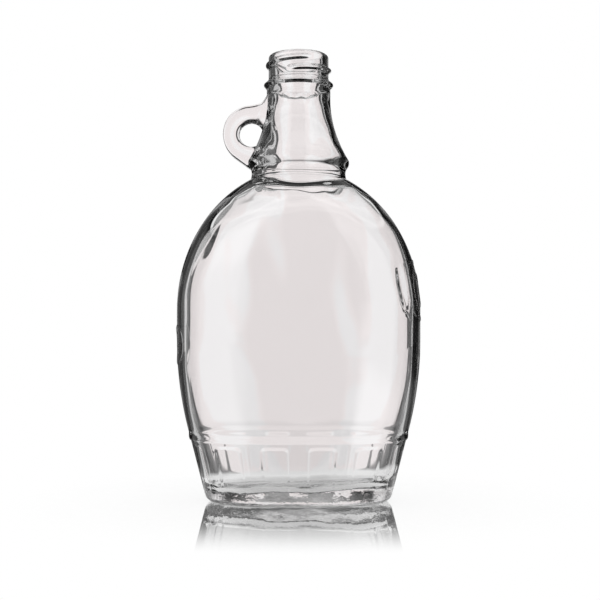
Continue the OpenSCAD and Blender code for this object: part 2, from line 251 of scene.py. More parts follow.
def skirt_outside():
    """Straight taper with the panels sunk in it; its rows are close at the panels' two ends."""
    z = [np.linspace(HEEL_R + 0.6, 8.5, 7), np.linspace(10, 20.6, 5), np.linspace(21.2, SKIRT_TOP, 15)]
    z = np.concatenate(z)
    a, b = skirt_half(column(z), panel_inset(z))
    return levels(a, b, CORNER_N, z)


def ledge_outside():
    """Low rounded ledge: a quarter ellipse that stands out over the skirt on the narrow sides, and an even slope
    into the body on the front and back."""
    s = np.linspace(0.08, 1, 11)
    z = SKIRT_TOP + (LEDGE_TOP - SKIRT_TOP) * s
    proud = column(LEDGE_LIP * np.sqrt(1 - (1 - np.minimum(s / 0.6, 1)) ** 2))
    even = column(LEDGE_LIP * s)
    narrow = ease((np.abs(squared(np.cos(SKIRT_TURNS), CORNER_N)) - 0.72) / 0.2)
    out = even + (proud - even) * narrow
    a, b = skirt_half(SKIRT_TOP)
    return levels(a + out, b + out, CORNER_N, z)


def body_half(z, inset=0.0):
    """Half width and half depth of the body: elliptic draw-in below the widest level, shoulder curve above."""
    foot = COLLAR_FOOT_R
    down, drop = WIDEST_Z - z, WIDEST_Z - LEDGE_TOP
    a = curve(down, 0, drop, BODY_A, LEDGE_A, 2) - inset
    b = curve(down, 0, drop, BODY_B, LEDGE_B, 2) - inset
    a = np.where(z > SHOULDER_Z, curve(z, SHOULDER_Z, SHOULDER_TOP, BODY_A - inset, foot, 2), a)
    b = np.where(z > SHOULDER_Z, curve(z, SHOULDER_Z, SHOULDER_TOP, BODY_B - inset, foot, SHOULDER_N), b)
    return a, b


def body_outside():
    """Rows from the ledge to the collar: even up to the shoulder, and there spaced by a sine, closer towards its
    top."""
    z = np.concatenate(
        [np.linspace(LEDGE_TOP + 0.9, SHOULDER_Z, 24),
         SHOULDER_Z + (SHOULDER_TOP - SHOULDER_Z) * np.sin(np.radians(np.linspace(3, 89.5, 36)))]
    )
    return levels(*body_half(z), plan_n(z), z, rounding(z, BODY_TURNS))


def neck_radius(z):
    """Bell of the neck: a straight stretch at the top, then a parabola out to the collar."""
    return NECK_R + (NECK_FOOT_R - NECK_R) * np.clip((BELL_TOP - z) / (BELL_TOP - COLLAR_TOP), 0, 1) ** 2


def collar_outline():
    """Radii and levels of the waist, a quarter ellipse, of the two equal arcs of an S that lead out to the roll's
    widest level, and of the roll's top under the foot of the neck."""
    waist_in = 1.2
    waist_r, waist_z = COLLAR_FOOT_R - waist_in, SHOULDER_TOP + 3.1
    tip_r, tip_z = NECK_FOOT_R + 0.2, COLLAR_TOP - 0.85
    steepest = 2 * math.atan((tip_r - waist_r) / (tip_z - waist_z))
    arc_r = (tip_z - waist_z) / (2 * math.sin(steepest))
    turn = np.radians(np.linspace(0, 90, 7))[:-1]
    parts = [(COLLAR_FOOT_R - waist_in * np.sin(turn), SHOULDER_TOP + (waist_z - SHOULDER_TOP) * (1 - np.cos(turn)))]
    turn = np.linspace(0, steepest, 7)
    parts.append((waist_r + arc_r * (1 - np.cos(turn)), waist_z + arc_r * np.sin(turn)))
    turn = turn[-2::-1]
    parts.append((tip_r - arc_r * (1 - np.cos(turn)), tip_z - arc_r * np.sin(turn)))
    turn = np.radians([12, 24])
    top_r = (COLLAR_TOP - tip_z) / math.sin(turn[-1])
    parts.append((tip_r - top_r * (1 - np.cos(turn)), tip_z + top_r * np.sin(turn)))
    return np.concatenate([p[0] for p in parts]), np.concatenate([p[1] for p in parts])


def thread_relief(z):
    """Height of the helix over the wall: for each turn of it that passes a column, a crest with two eased flanks
    round its middle line, which fades out at both ends."""
    relief = np.zeros((len(z), COLUMNS))
    angle = np.degrees(ROUND_TURNS)
    for wrap in range(3):
        down = THREAD_TOP_TURN - angle + 360 * (wrap - 1)
        rise = ease(np.minimum(down, THREAD_ANGLE - down) / RUN_OUT)
        middle = LIP_TOP - THREAD_DROP - THREAD_PITCH * down / 360
        off = (column(z) - middle[None, :]) / (THREAD_W / 2)
        flank = np.where(off > 0.2, (1.3 - off) / 1.1, (1.15 + off) / 1.05)
        relief = np.maximum(relief, rise * ease(flank))
    return (THREAD_R - FINISH_R) * relief


def bead_outline():
    """Radii and levels of the transfer bead: a curved underside, a narrow rim and a long hollow upper slope."""
    rim_z, rim_h = NECK_TOP + 1.9, 0.5
    share = np.linspace(0, 1, 5)
    under = NECK_R + (BEAD_R - 0.1 - NECK_R) * share, rim_z - 1.2 + 1.1 * share**1.3
    rim = [BEAD_R, BEAD_R], [rim_z, rim_z + rim_h]
    share = np.linspace(0.12, 1, 8)
    slope_r = BEAD_R - (BEAD_R - FINISH_R) * np.sin(np.radians(90 * share))
    slope = slope_r, rim_z + rim_h + (BEAD_TOP + 0.6 - rim_z) * share
    return np.concatenate([under[0], rim[0], slope[0]]), np.concatenate([under[1], rim[1], slope[1]])


def neck_and_finish():
    """Collar, bell, transfer bead, threaded wall and a lip of two quarter circles, all turned about the axis."""
    collar = circles(*collar_outline())
    z = np.linspace(COLLAR_TOP, NECK_TOP, 20)[1:]
    bell = circles(neck_radius(z), z)
    bead = circles(*bead_outline())
    z = np.linspace(BEAD_TOP + 1.1, LIP_TOP - LIP_R - 0.2, 40)
    r = FINISH_R + thread_relief(z)
    wall = levels(r, r, 2.0, z, ROUND_TURNS)
    turn = np.radians(np.linspace(0, 90, 7))
    outer = circles(FINISH_R - LIP_R * (1 - np.cos(turn)), LIP_TOP - LIP_R * (1 - np.sin(turn)))
    inner_r = FINISH_R - LIP_R - 0.05 - MOUTH_R
    inner = circles(MOUTH_R + inner_r * (1 - np.cos(turn[::-1])), LIP_TOP - inner_r * (1 - np.sin(turn[::-1])))
    return np.concatenate([collar, bell, bead, wall, outer, inner])


# ---- Inner face, from the bore down to the middle of the floor ----

PASSAGE_TAPER = 0.155                  # what the passage's radius gains for each millimetre down the neck
FLARE_TOP = COLLAR_TOP + 11.0          # it flares as well between these levels, by this much
FLARE_FOOT = COLLAR_TOP - 1.5
FLARE = 2.4
NEAR_STEP = SHOULDER_TOP - 2.2, SHOULDER_TOP - 5.9     # levels between which the passage steps out into the hollow
FAR_STEP = SHOULDER_TOP, SHOULDER_TOP - 9.5            # at the front and, more gently, at the back

# Where the wall has run thick: x, side of y, level, lean, half width, half height, depth
THICK_PLACES = [
    (-40.0, 1, 108.5, 0.45, 2.8, 9.0, 2.1),
    (40.7, -1, 88.5, -0.2, 1.3, 8.0, 0.75),
    (-45.4, 1, 64.0, 0.0, 1.8, 13.0, 0.35),
]


def passage_radius(z):
    """Radius under the bore: a straight taper down the neck and an eased flare at its foot."""
    down = np.clip(BELL_TOP - z, 0, BELL_TOP - FLARE_FOOT)
    return BORE_R + BORE_STEP + PASSAGE_TAPER * down + FLARE * ease((FLARE_TOP - z) / (FLARE_TOP - FLARE_FOOT))


def hollow_half(z, step):
    """Half width and half depth of the hollow: the outer face drawn in by the wall, square to it, which goes over
    into the passage in a rounded step between two levels at the top of the shoulder."""
    below, above = body_half(z - 0.01), body_half(z + 0.01)
    wall = WALL + 0.5 * ease((z - 110) / 15)
    halves = []
    for outer, lower, upper in zip(body_half(z), below, above):
        slope = np.where(z > SHOULDER_Z, (upper - lower) / 0.02, 0)
        inner = outer - wall * np.sqrt(1 + slope**2)
        halves.append(column(inner + (passage_radius(z) - inner) * ease((z - step[1]) / (step[0] - step[1])) ** 1.5))
    return halves


def bore_edge():
    """Edge between bore and passage: the radius eases out over the step, ragged at the back by short waves, while
    the level falls, steeply at the front."""
    s = np.linspace(0, 1, 5)
    at_back = ease(0.5 + 0.6 * np.sin(ROUND_TURNS))
    ragged = 0.18 * waves(circles([9.0], [0.0]), 17, (2.2, 4.5))[0]
    r = column(BORE_R + BORE_STEP * ease(s)) + at_back * ragged * np.sin(math.pi * column(s))
    z = NECK_TOP + 0.8 + 1.2 * at_back - column(s) * (1.2 + 2.8 * (1 - at_back)) + 1.6 * at_back * ragged
    return levels(r, r, 2.0, z, ROUND_TURNS)


def inside():
    """Bore that narrows by an eased step, its edge, the passage, the hollow of shoulder and body between its near
    and its far form, the inner heel, a quarter circle, and a floor that rises as a parabola to its middle."""
    s = np.linspace(0, 1, 7)
    top, foot = LIP_TOP - 2.5, BEAD_TOP + 1.5
    bore = circles(MOUTH_R + (BORE_R - MOUTH_R) * ease(s), top + (foot - top) * s)
    bore_foot = circles([BORE_R, BORE_R], [NECK_TOP + 3.6, NECK_TOP + 2.4])
    z = np.linspace(NECK_TOP - 3.8, SHOULDER_TOP + 0.6, 26)
    passage = circles(passage_radius(z), z)
    z = np.concatenate(
        [np.linspace(SHOULDER_TOP, NEAR_STEP[1] - 0.6, 22),
         SHOULDER_Z + (SHOULDER_TOP - SHOULDER_Z) * np.sin(np.radians(np.linspace(58, 2, 26))),
         np.linspace(SHOULDER_Z, BASE_TOP + INNER_HEEL_R + 1, 26)]
    )
    back = ease(0.5 + 0.8 * np.sin(INNER_TURNS))
    a, b = (near + (far - near) * back for near, far in zip(hollow_half(z, NEAR_STEP), hollow_half(z, FAR_STEP)))
    sa, sb = skirt_half(column(z), WALL)
    a, b = np.where(column(z) < LEDGE_TOP, sa, a), np.where(column(z) < LEDGE_TOP, sb, b)
    hollow = levels(a, b, plan_n(z), z, rounding(z, INNER_TURNS))
    turn = np.radians(np.linspace(6, 90, 8))
    z = BASE_TOP + INNER_HEEL_R * (1 - np.sin(turn))
    heel = levels(*skirt_half(z, WALL + INNER_HEEL_R * (1 - np.cos(turn))), CORNER_N, z, INNER_TURNS)
    share = np.linspace(0.93, 0.06, 11)
    a, b = skirt_half(BASE_TOP, WALL + INNER_HEEL_R)
    floor = levels(a * share, b * share, CORNER_N, BASE_TOP + 0.8 * (1 - share**2), INNER_TURNS)
    return np.concatenate([bore, bore_foot, bore_edge(), passage, hollow, heel, floor])


def push(rows, amount):
    """Moves points outwards from the axis, level by level."""
    flat = rows * np.array([1, 1, 0])
    size = np.maximum(np.linalg.norm(flat, axis=-1, keepdims=True), 1e-6)
    return rows + flat / size * amount[..., None]


def settle_inside(rows):
    """Free inner face, where the glass has run: plus long and short waves of a few tenths of a millimetre, less a
    bell curve at each thick place. The shoulder's wall is thick on the left and thin on the right, its step is wavy
    at the front, and the floor is tilted and lumpy."""
    z = rows[..., 2]
    calm = ease((z - 14) / 20) * ease((COLLAR_TOP - 4 - z) / 20)
    broad = 0.3 + 0.7 * ease((BODY_A - 8 - np.abs(rows[..., 0])) / 14)
    amount = calm * broad * (0.30 * waves(rows, 11, (26, 60)) + 0.12 * waves(rows, 5, (12, 22)))
    for x, side, level, lean, wide, tall, depth in THICK_PLACES:
        near = ((rows[..., 0] - x - lean * (z - level)) / wide) ** 2 + ((z - level) / tall) ** 2
        amount = amount - depth * np.exp(-near) * ease(0.5 + side * rows[..., 1] / 6)
    rows = push(rows, amount)

    x = rows[..., 0]
    rows[..., 0] += 1.1 * ease((-6 - x) / 6) * ease((160 - z) / 16) * ease((z - 118) / 12)
    rows[..., 0] += 0.9 * ease((x - 6) / 6) * ease((160 - z) / 16) * ease((z - 90) / 22)

    step = ease((z - 120) / 4) * ease((136 - z) / 4) * ease(0.5 - rows[..., 1] / 12)
    rows = push(rows, step * 0.2 * waves(rows, 47, (9, 19)))
    rows[..., 2] += step * 0.35 * waves(rows, 53, (9, 20))

    low_part = ease((15 - z) / 7)
    lift = 0.5 * waves(rows, 3, (16, 36)) + 0.25 * waves(rows, 9, (7, 12)) + 1.1 * rows[..., 0] / 38
    rows[..., 2] += low_part * lift
    return rows


def settle_outside(rows):
    """Mould side: it moves by hundredths of a millimetre only, most on the shoulder."""
    z = rows[..., 2]
    calm = ease((z - 32) / 10) * ease((SHOULDER_TOP - 8 - z) / 14)
    more = 0.05 + 0.09 * ease((z - 70) / 20)
    return push(rows, calm * more * waves(rows, 23, (22, 48)))


# ---- Meshes from rows of points ----


def quads_between(first, next_row, count):
    """Quads between closed rows of count points, from the numbers of each row's and the next row's first points."""
    i = np.arange(count)
    j = (i + 1) % count
    first, next_row = column(first).astype(int), column(next_row).astype(int)
    return np.stack([first + i, first + j, next_row + j, next_row + i], axis=-1).reshape(-1, 4)


def fan(pole, ring, count, inwards):
    """Triangles from a pole to a closed row of count points whose first number is ring."""
    i = np.arange(count)
    j = (i + 1) % count
    pair = (ring + j, ring + i) if inwards else (ring + i, ring + j)
    return np.stack([np.full(count, pole), *pair], axis=-1)


def shell_mesh():
    """Closed skin: the skirt's close columns, a strip in which two of them go over into one, the rest row by row
    over the lip and down the inside, and a point at each pole."""
    lower = np.concatenate([underside(), skirt_outside(), ledge_outside()])
    upper = settle_outside(np.concatenate([body_outside(), neck_and_finish()]))
    rows = np.concatenate([upper, settle_inside(inside())])
    points = [lower.reshape(-1, 3), rows.reshape(-1, 3)]
    start = len(points[0])
    points += [lower[0].mean(0)[None], rows[-1].mean(0)[None]]
    r = np.arange(len(lower) - 1) * SKIRT_COLUMNS
    quads = [quads_between(r, r + SKIRT_COLUMNS, SKIRT_COLUMNS)]
    r = start + np.arange(len(rows) - 1) * COLUMNS
    quads.append(quads_between(r, r + COLUMNS, COLUMNS))
    k = np.arange(COLUMNS)
    wide = start - SKIRT_COLUMNS + np.stack([2 * k, 2 * k + 1, (2 * k + 2) % SKIRT_COLUMNS])
    slim = start + np.stack([k, (k + 1) % COLUMNS])
    pole = start + len(rows) * COLUMNS
    tris = [
        np.stack([wide[0], wide[1], slim[0]], axis=-1),
        np.stack([wide[1], slim[1], slim[0]], axis=-1),
        np.stack([wide[1], wide[2], slim[1]], axis=-1),
        fan(pole, 0, SKIRT_COLUMNS, True),
        fan(pole + 1, pole - COLUMNS, COLUMNS, False),
    ]
    return np.concatenate(points) * MM, np.concatenate(quads), np.concatenate(tris)


def new_mesh(name, points, quads, tris=np.empty((0, 3), int)):
    """Object at the origin from points in metres and the point numbers of its quads and triangles."""
    mesh = bpy.data.meshes.new(name)
    mesh.from_pydata(points.tolist(), [], quads.tolist() + tris.tolist())
    mesh.update()
    thing = bpy.data.objects.new(name, mesh)
    bpy.context.scene.collection.objects.link(thing)
    return thing


def loop_mesh(name, rings):
    """Closed tube from equal rings of points that run once round a loop."""
    steps, section = rings.shape[:2]
    i = np.arange(section)
    j = (i + 1) % section
    r0 = column(np.arange(steps) * section).astype(int)
    r1 = column((np.arange(steps) + 1) % steps * section).astype(int)
    quads = np.stack([r0 + i, r1 + i, r1 + j, r0 + j], axis=-1).reshape(-1, 4)
    return new_mesh(name, rings.reshape(-1, 3) * MM, quads)


# ---- Finger ring ----

RING_R = 11.8
RING_BAND = 6.9                        # from the outer edge to the hole
RING_T = 7.2
RING_N = 9.0, 2.8                      # squareness of the band's section at its outer edge and at the hole
RING_Z = COLLAR_TOP + 10.9
RING_X = float(neck_radius(RING_Z)) + 3.8
RING_TANGENTS = 97, 234                # turns past which the outer edge runs on straight, in degrees
RING_REACH = 38                        # and how many degrees it still goes on


def ring_outer(turn):
    """Outer radius of the ring at a turn in degrees: past two turns its edge runs on along a tangent, and under the
    bead it flares up the neck, as a square and then a cube of the way."""
    past = np.maximum(0, np.maximum(RING_TANGENTS[0] - turn, turn - RING_TANGENTS[1]))
    flare = 0.5 * (np.maximum(90 - turn, 0) / 16) ** 2 + 3.76 * (np.maximum(72.5 - turn, 0) / 5) ** 3
    straight = RING_R / np.cos(np.radians(np.minimum(RING_REACH, past)))
    return straight + np.where(turn > 20, np.minimum(flare, 4.5), 0)


def ring_band():
    """Band: a squared oval section between the round hole and the outer edge, carried once round the hole."""
    turn = [np.arange(0, 64, 2.0), np.arange(64, 76, 0.5), np.arange(76, 90, 1.0), np.arange(90, 360, 2.5)]
    turn = np.concatenate(turn)[::-1]
    hole = RING_R - RING_BAND
    middle = column((ring_outer(turn) + hole) / 2)
    half = column((ring_outer(turn) - hole) / 2)
    a = np.arange(32) / 32 * 2 * math.pi
    n = np.where(np.cos(a) > 0, *RING_N)
    r = middle + half * squared(np.cos(a), n)
    y = RING_T / 2 * squared(np.sin(a), n) + 0 * r
    t = np.radians(column(turn))
    return loop_mesh("ring_band", np.stack([-RING_X + r * np.cos(t), y, RING_Z + r * np.sin(t)], axis=-1))


def neck_core(depth=1.8):
    """Solid of the neck drawn in by depth, which trims the ring inside the glass of the neck."""
    z = np.linspace(COLLAR_TOP - 6, NECK_TOP + 3, 44)
    r = np.where(z > COLLAR_TOP, neck_radius(z), NECK_FOOT_R - 1.0) - depth
    rings = circles(r, z)
    count = COLUMNS * len(z)
    points = np.concatenate([rings.reshape(-1, 3), [[0, 0, z[0]], [0, 0, z[-1]]]]) * MM
    r0 = np.arange(len(z) - 1) * COLUMNS
    tris = np.concatenate([fan(count, 0, COLUMNS, True), fan(count + 1, count - COLUMNS, COLUMNS, False)])
    return new_mesh("neck_core", points, quads_between(r0, r0 + COLUMNS, COLUMNS), tris)


# ---- Round marks on the narrow sides ----

MARKS = [(12.6, SHOULDER_Z + 8.7, 1), (7.0, SHOULDER_Z + 8.7, 1), (8.0, SHOULDER_Z - 14, -1)]    # radius, level, side
MARK_LINE = 0.45                       # half width of the raised line
MARK_H = 0.22                          # its height over the glass
MARK_ROOT = 0.5                        # and how deep it goes into the glass


def side_x(y, z):
    """Outer face of the body at a place on its narrow side: the plan's superellipse solved for x."""
    a, b = body_half(z)
    n = plan_n(z)
    return a * (1 - (np.abs(y) / b) ** n) ** (1 / n)


def round_mark(r, level, side):
    """Raised line on the side: a flattened round section carried round a circle laid on the body's face."""
    turn = side * column(np.arange(90) / 90 * 2 * math.pi)
    a = np.arange(10) / 10 * 2 * math.pi
    y = (r + MARK_LINE * np.cos(a)) * np.cos(turn)
    z = level + (r + MARK_LINE * np.cos(a)) * np.sin(turn)
    x = side * (side_x(y, z) + np.where(np.sin(a) > 0, MARK_H, MARK_ROOT) * np.sin(a))
    return loop_mesh("round_mark", np.stack([x, y, z], axis=-1))


# ---- The whole flask ----


def combine(target, tool, operation):
    """Joins or cuts two closed meshes and keeps the result as the target's own mesh."""
    change = target.modifiers.new("combine", "BOOLEAN")
    change.operation = operation
    change.solver = "MANIFOLD"
    change.object = tool
    graph = bpy.context.evaluated_depsgraph_get()
    made = bpy.data.meshes.new_from_object(target.evaluated_get(graph))
    target.modifiers.clear()
    target.data = made
    bpy.data.objects.remove(tool)


def build_flask():
    """One skin of glass: the shell with the finger ring and the raised marks joined to it."""
    flask = new_mesh("flask_glass", *shell_mesh())
    ring = ring_band()
    combine(ring, neck_core(), "DIFFERENCE")
    combine(flask, ring, "UNION")
    for mark in MARKS:
        combine(flask, round_mark(*mark), "UNION")
    flask.data.shade_smooth()
    flask.data.set_sharp_from_angle(angle=math.radians(50))
    return flask


# ---- Nodes ----


def linear(hex_colour):
    """Linear colour of an sRGB hex value."""
    parts = [int(hex_colour[i:i + 2], 16) / 255 for i in (1, 3, 5)]
    return tuple(c / 12.92 if c <= 0.04045 else ((c + 0.055) / 1.055) ** 2.4 for c in parts) + (1.0,)


WHITE = linear("#FFFFFF")


def add(tree, kind, links=(), inputs=(), stops=(), **settings):
    """Adds one node with its settings and input values, a ramp's (place, grey or colour) stops, and links from
    source sockets to the inputs named with them."""
    made = tree.nodes.new(kind)
    for key, value in settings.items():
        setattr(made, key, value)
    for key, value in inputs:
        made.inputs[key].default_value = value
    for key, source in links:
        tree.links.new(source, made.inputs[key])
    for place, _ in stops[2:]:
        made.color_ramp.elements.new(place)
    for number, (place, tone) in enumerate(stops):
        made.color_ramp.elements[number].position = place
        made.color_ramp.elements[number].color = (*(tone if isinstance(tone, tuple) else (tone,) * 3), 1.0)
    return made


def empty_tree(block):
    """The node tree of a material or world, cleared."""
    block.use_nodes = True
    block.node_tree.nodes.clear()
    return block.node_tree


# What a Mix node needs to blend, multiply or sum two colours: 0 is its factor, 6 and 7 are the colours, 2 comes out
BLEND = dict(data_type="RGBA")
TIMES = dict(data_type="RGBA", blend_type="MULTIPLY", inputs=[(0, 1.0)])
PLUS = dict(data_type="RGBA", blend_type="ADD", inputs=[(0, 1.0)])


# ---- Glass ----


def flint_glass():
    """Flint container glass, soda-lime, blown in a mould and fire polished. To the eye it is colourless with sharp
    dark lines where the wall turns away, faintly grey where light runs far through it, and lumpy in the base."""
    material = bpy.data.materials.new("flint_container_glass")
    tree = empty_tree(material)
    place = add(tree, "ShaderNodeTexCoord")
    level = add(tree, "ShaderNodeSeparateXYZ", links=[("Vector", place.outputs["Object"])])
    # Chill marks of the base: about 4 mm from one to the next, 0.4 mm high, gone 8 mm above the table
    lumps = add(
        tree, "ShaderNodeTexNoise", links=[("Vector", place.outputs["Object"])],
        inputs=[("Scale", 260.0), ("Detail", 3.0), ("Roughness", 0.6)],
    )
    at_base = add(
        tree, "ShaderNodeMapRange", links=[("Value", level.outputs["Z"])],
        inputs=[("From Min", 5.5 * MM), ("From Max", 8 * MM), ("To Min", 1.0), ("To Max", 0.0)],
    )
    height = add(tree, "ShaderNodeMath", links=[(0, lumps.outputs[0]), (1, at_base.outputs[0])], operation="MULTIPLY")
    bump = add(
        tree, "ShaderNodeBump", links=[("Height", height.outputs[0])],
        inputs=[("Strength", 1.0), ("Distance", 0.4 * MM)],
    )
    glass = add(
        tree, "ShaderNodeBsdfPrincipled", links=[("Normal", bump.outputs[0])],
        inputs=[("Base Color", WHITE), ("Roughness", 0.0), ("IOR", 1.52), ("Transmission Weight", 1.0)],
    )
    tint = add(tree, "ShaderNodeVolumeAbsorption", inputs=[("Color", linear("#D2D0D0")), ("Density", 12.0)])
    add(tree, "ShaderNodeOutputMaterial", links=[("Surface", glass.outputs[0]), ("Volume", tint.outputs[0])])
    return material


# ---- Studio: brightness by degrees from straight behind the flask (0) to the camera (180) ----

# What light that only went through the glass sees: the backdrop, then dark cards with light boxes between them
THROUGH = [
    (0, 0.93), (3.2, 0.93), (3.3, 0.965), (3.9, 0.965), (4.1, 1), (9.4, 1), (9.9, 0.93), (20, 0.93),
    (20.9, 0.05), (30, 0.05), (32, 0.88), (53, 0.88), (55, 0.05), (60.5, 0.05), (62.5, 0.9), (117.5, 0.9),
    (119.5, 0.05), (125, 0.05), (127, 0.88), (143, 0.88), (145, 0.05), (150.5, 0.05), (152.5, 0.9), (180, 0.9),
]
# Painted shade of the dark cards on the floor round the flask, by the same degrees
PAINTED_CARD_SHADE = [
    (0, 0.83), (4, 0.83), (6, 0.88), (17.5, 0.86), (19.5, 0.3), (30, 0.1), (46, 0.1), (49, 0.6), (53, 0.6),
    (56, 0.1), (70, 0.1), (80, 0.8), (180, 0.8),
]
# What light that also bounced inside the glass or off it sees: a dim backdrop and two boxes at each side
BOUNCED = [
    (0, 0.42), (8, 0.42), (13, 0.14), (20, 0.07), (40, 0.03), (50, 0.03), (56, 0.10), (59, 0.6), (78, 0.6),
    (82, 0.06), (104, 0.06), (108, 0.9), (118, 1), (152, 1), (156, 0.0), (180, 0.0),
]
# The same, for light that has passed more than three faces of the glass
DULL = [
    (0, 0.5), (24, 0.6), (30, 0.05), (56, 0.05), (60, 0.5), (104, 0.06), (108, 0.9), (118, 1), (152, 1),
    (156, 0), (180, 0),
]
# Warm and cool parts of the backdrop
WARM, COOL = (1.04, 0.98, 0.98), (1.01, 0.993, 1.0)
TINT = [(0, WARM), (3.8, WARM), (4.1, COOL), (9.4, COOL), (9.9, WARM), (20, WARM), (24, COOL), (180, COOL)]
# By the direction's X: the right half is screened off for bounced light
SCREEN = [(0.0, 1.0), (0.18, 1.0), (0.32, 0.35), (0.5, 0.2), (1.0, 0.12)]

# By degrees above the floor: the backdrop's own shading and the dark above it, and a light strip that only bounced
# light sees, with the ceiling over it
HEIGHT = [
    (0, 0.76), (2.5, 0.765), (9, 0.775), (13, 0.79), (17, 0.82), (20, 0.79), (26, 0.76), (33, 0.005),
    (60, 0.005), (90, 0.25),
]
OVERHEAD = [
    (0, 0), (34.4, 0), (35.2, 0.9), (37.2, 0.9), (38.4, 0.27), (42, 0.35), (45, 0.7), (60, 0.7), (75, 0.2),
    (90, 0.25),
]
UPPER_LIGHT = 1.235                    # what HEIGHT's numbers are multiplied by


def shares(stops, full):
    """The stops with their places as shares of the full angle."""
    return [(place / full, tone) for place, tone in stops]


def surround(tree, direction, share_up=None, low=None):
    """Brightness of the studio round the flask, by the compass angle of a direction and by how its ray came. Given
    the share of the way up to overhead, it changes with height; where low is 1, it is the painted shade of the
    dark cards on the floor round the flask. Given a floor point's place instead of a direction, it paints the
    studio's light and shade onto the floor. Returns the colour and the Light Path node."""
    parts = add(tree, "ShaderNodeSeparateXYZ", links=[("Vector", direction)])
    side = add(tree, "ShaderNodeMath", links=[(0, parts.outputs["X"])], operation="ABSOLUTE")
    angle = add(tree, "ShaderNodeMath", links=[(0, side.outputs[0]), (1, parts.outputs["Y"])], operation="ARCTAN2")
    share = add(tree, "ShaderNodeMath", links=[(0, angle.outputs[0])], inputs=[(1, 1 / math.pi)], operation="MULTIPLY")
    through, bounced, dull, tint = (
        add(tree, "ShaderNodeValToRGB", links=[("Fac", share.outputs[0])], stops=shares(stops, 180)).outputs[0]
        for stops in (THROUGH, BOUNCED, DULL, TINT)
    )
    if low is not None:
        # painted shade of the dark cards on the floor near the flask
        painted_card_shade_ramp = add(tree, "ShaderNodeValToRGB", links=[("Fac", share.outputs[0])], stops=shares(PAINTED_CARD_SHADE, 180))
        through = add(
            tree, "ShaderNodeMix", links=[(0, low), (6, through), (7, painted_card_shade_ramp.outputs[0])], **BLEND,
        ).outputs[2]
    through = add(tree, "ShaderNodeMix", links=[(6, through), (7, tint)], **TIMES).outputs[2]

    rays = add(tree, "ShaderNodeLightPath")
    has_bounced = add(
        tree, "ShaderNodeMath", links=[(0, rays.outputs["Glossy Depth"])], inputs=[(1, 0.5)], operation="GREATER_THAN",
    )
    deep = add(
        tree, "ShaderNodeMath", links=[(0, rays.outputs["Transmission Depth"])], inputs=[(1, 3.5)],
        operation="GREATER_THAN",
    )
    bounced = add(tree, "ShaderNodeMix", links=[(0, deep.outputs[0]), (6, bounced), (7, dull)], **BLEND).outputs[2]
    screen = add(tree, "ShaderNodeValToRGB", links=[("Fac", parts.outputs["X"])], stops=SCREEN)
    bounced = add(tree, "ShaderNodeMix", links=[(6, bounced), (7, screen.outputs[0])], **TIMES).outputs[2]

    if share_up is not None:
        height = add(tree, "ShaderNodeValToRGB", links=[("Fac", share_up)], stops=shares(HEIGHT, 90))
        upper = add(
            tree, "ShaderNodeVectorMath", links=[(0, height.outputs[0])], inputs=[(1, (UPPER_LIGHT,) * 3)],
            operation="MULTIPLY",
        )
        overhead = add(tree, "ShaderNodeValToRGB", links=[("Fac", share_up)], stops=shares(OVERHEAD, 90))
        through = add(tree, "ShaderNodeMix", links=[(6, through), (7, upper.outputs[0])], **TIMES).outputs[2]
        bounced = add(tree, "ShaderNodeMix", links=[(6, bounced), (7, upper.outputs[0])], **TIMES).outputs[2]
        bounced = add(tree, "ShaderNodeMix", links=[(6, bounced), (7, overhead.outputs[0])], **PLUS).outputs[2]
    colour = add(tree, "ShaderNodeMix", links=[(0, has_bounced.outputs[0]), (6, through), (7, bounced)], **BLEND)
    return colour.outputs[2], rays


FLOOR_HALF = 4.0                       # metres
FLOOR_Z = -0.1 * MM                    # just under the flask, so that no two faces lie in one plane
GLOSS_SHARE = 0.85                     # of what the floor gives back close to the flask
FLOOR_LIGHT = 0.935                    # strength of the painted studio light and shade that the floor glows with, seen through the glass
# Metres from the axis over which one look of the floor goes over into the next: where the painted shadow under the
# flask ends, where the painted card shade round it gives way to the backdrop's painted tones, and where the mirror
# fades
PAINTED_SHADOW_END = 0.065, 0.09
ROUND_FLASK = 0.22, 0.40
MIRROR_ZONE = 0.055, 0.116
PAINTED_SHADOW_TONES = [(0.028, 0.6), (0.042, 0.88)]  # painted shadow under the flask: its tone by metres from the axis
BEHIND = 0.955, 0.965                  # how much of a direction points away from the camera, straight behind the flask


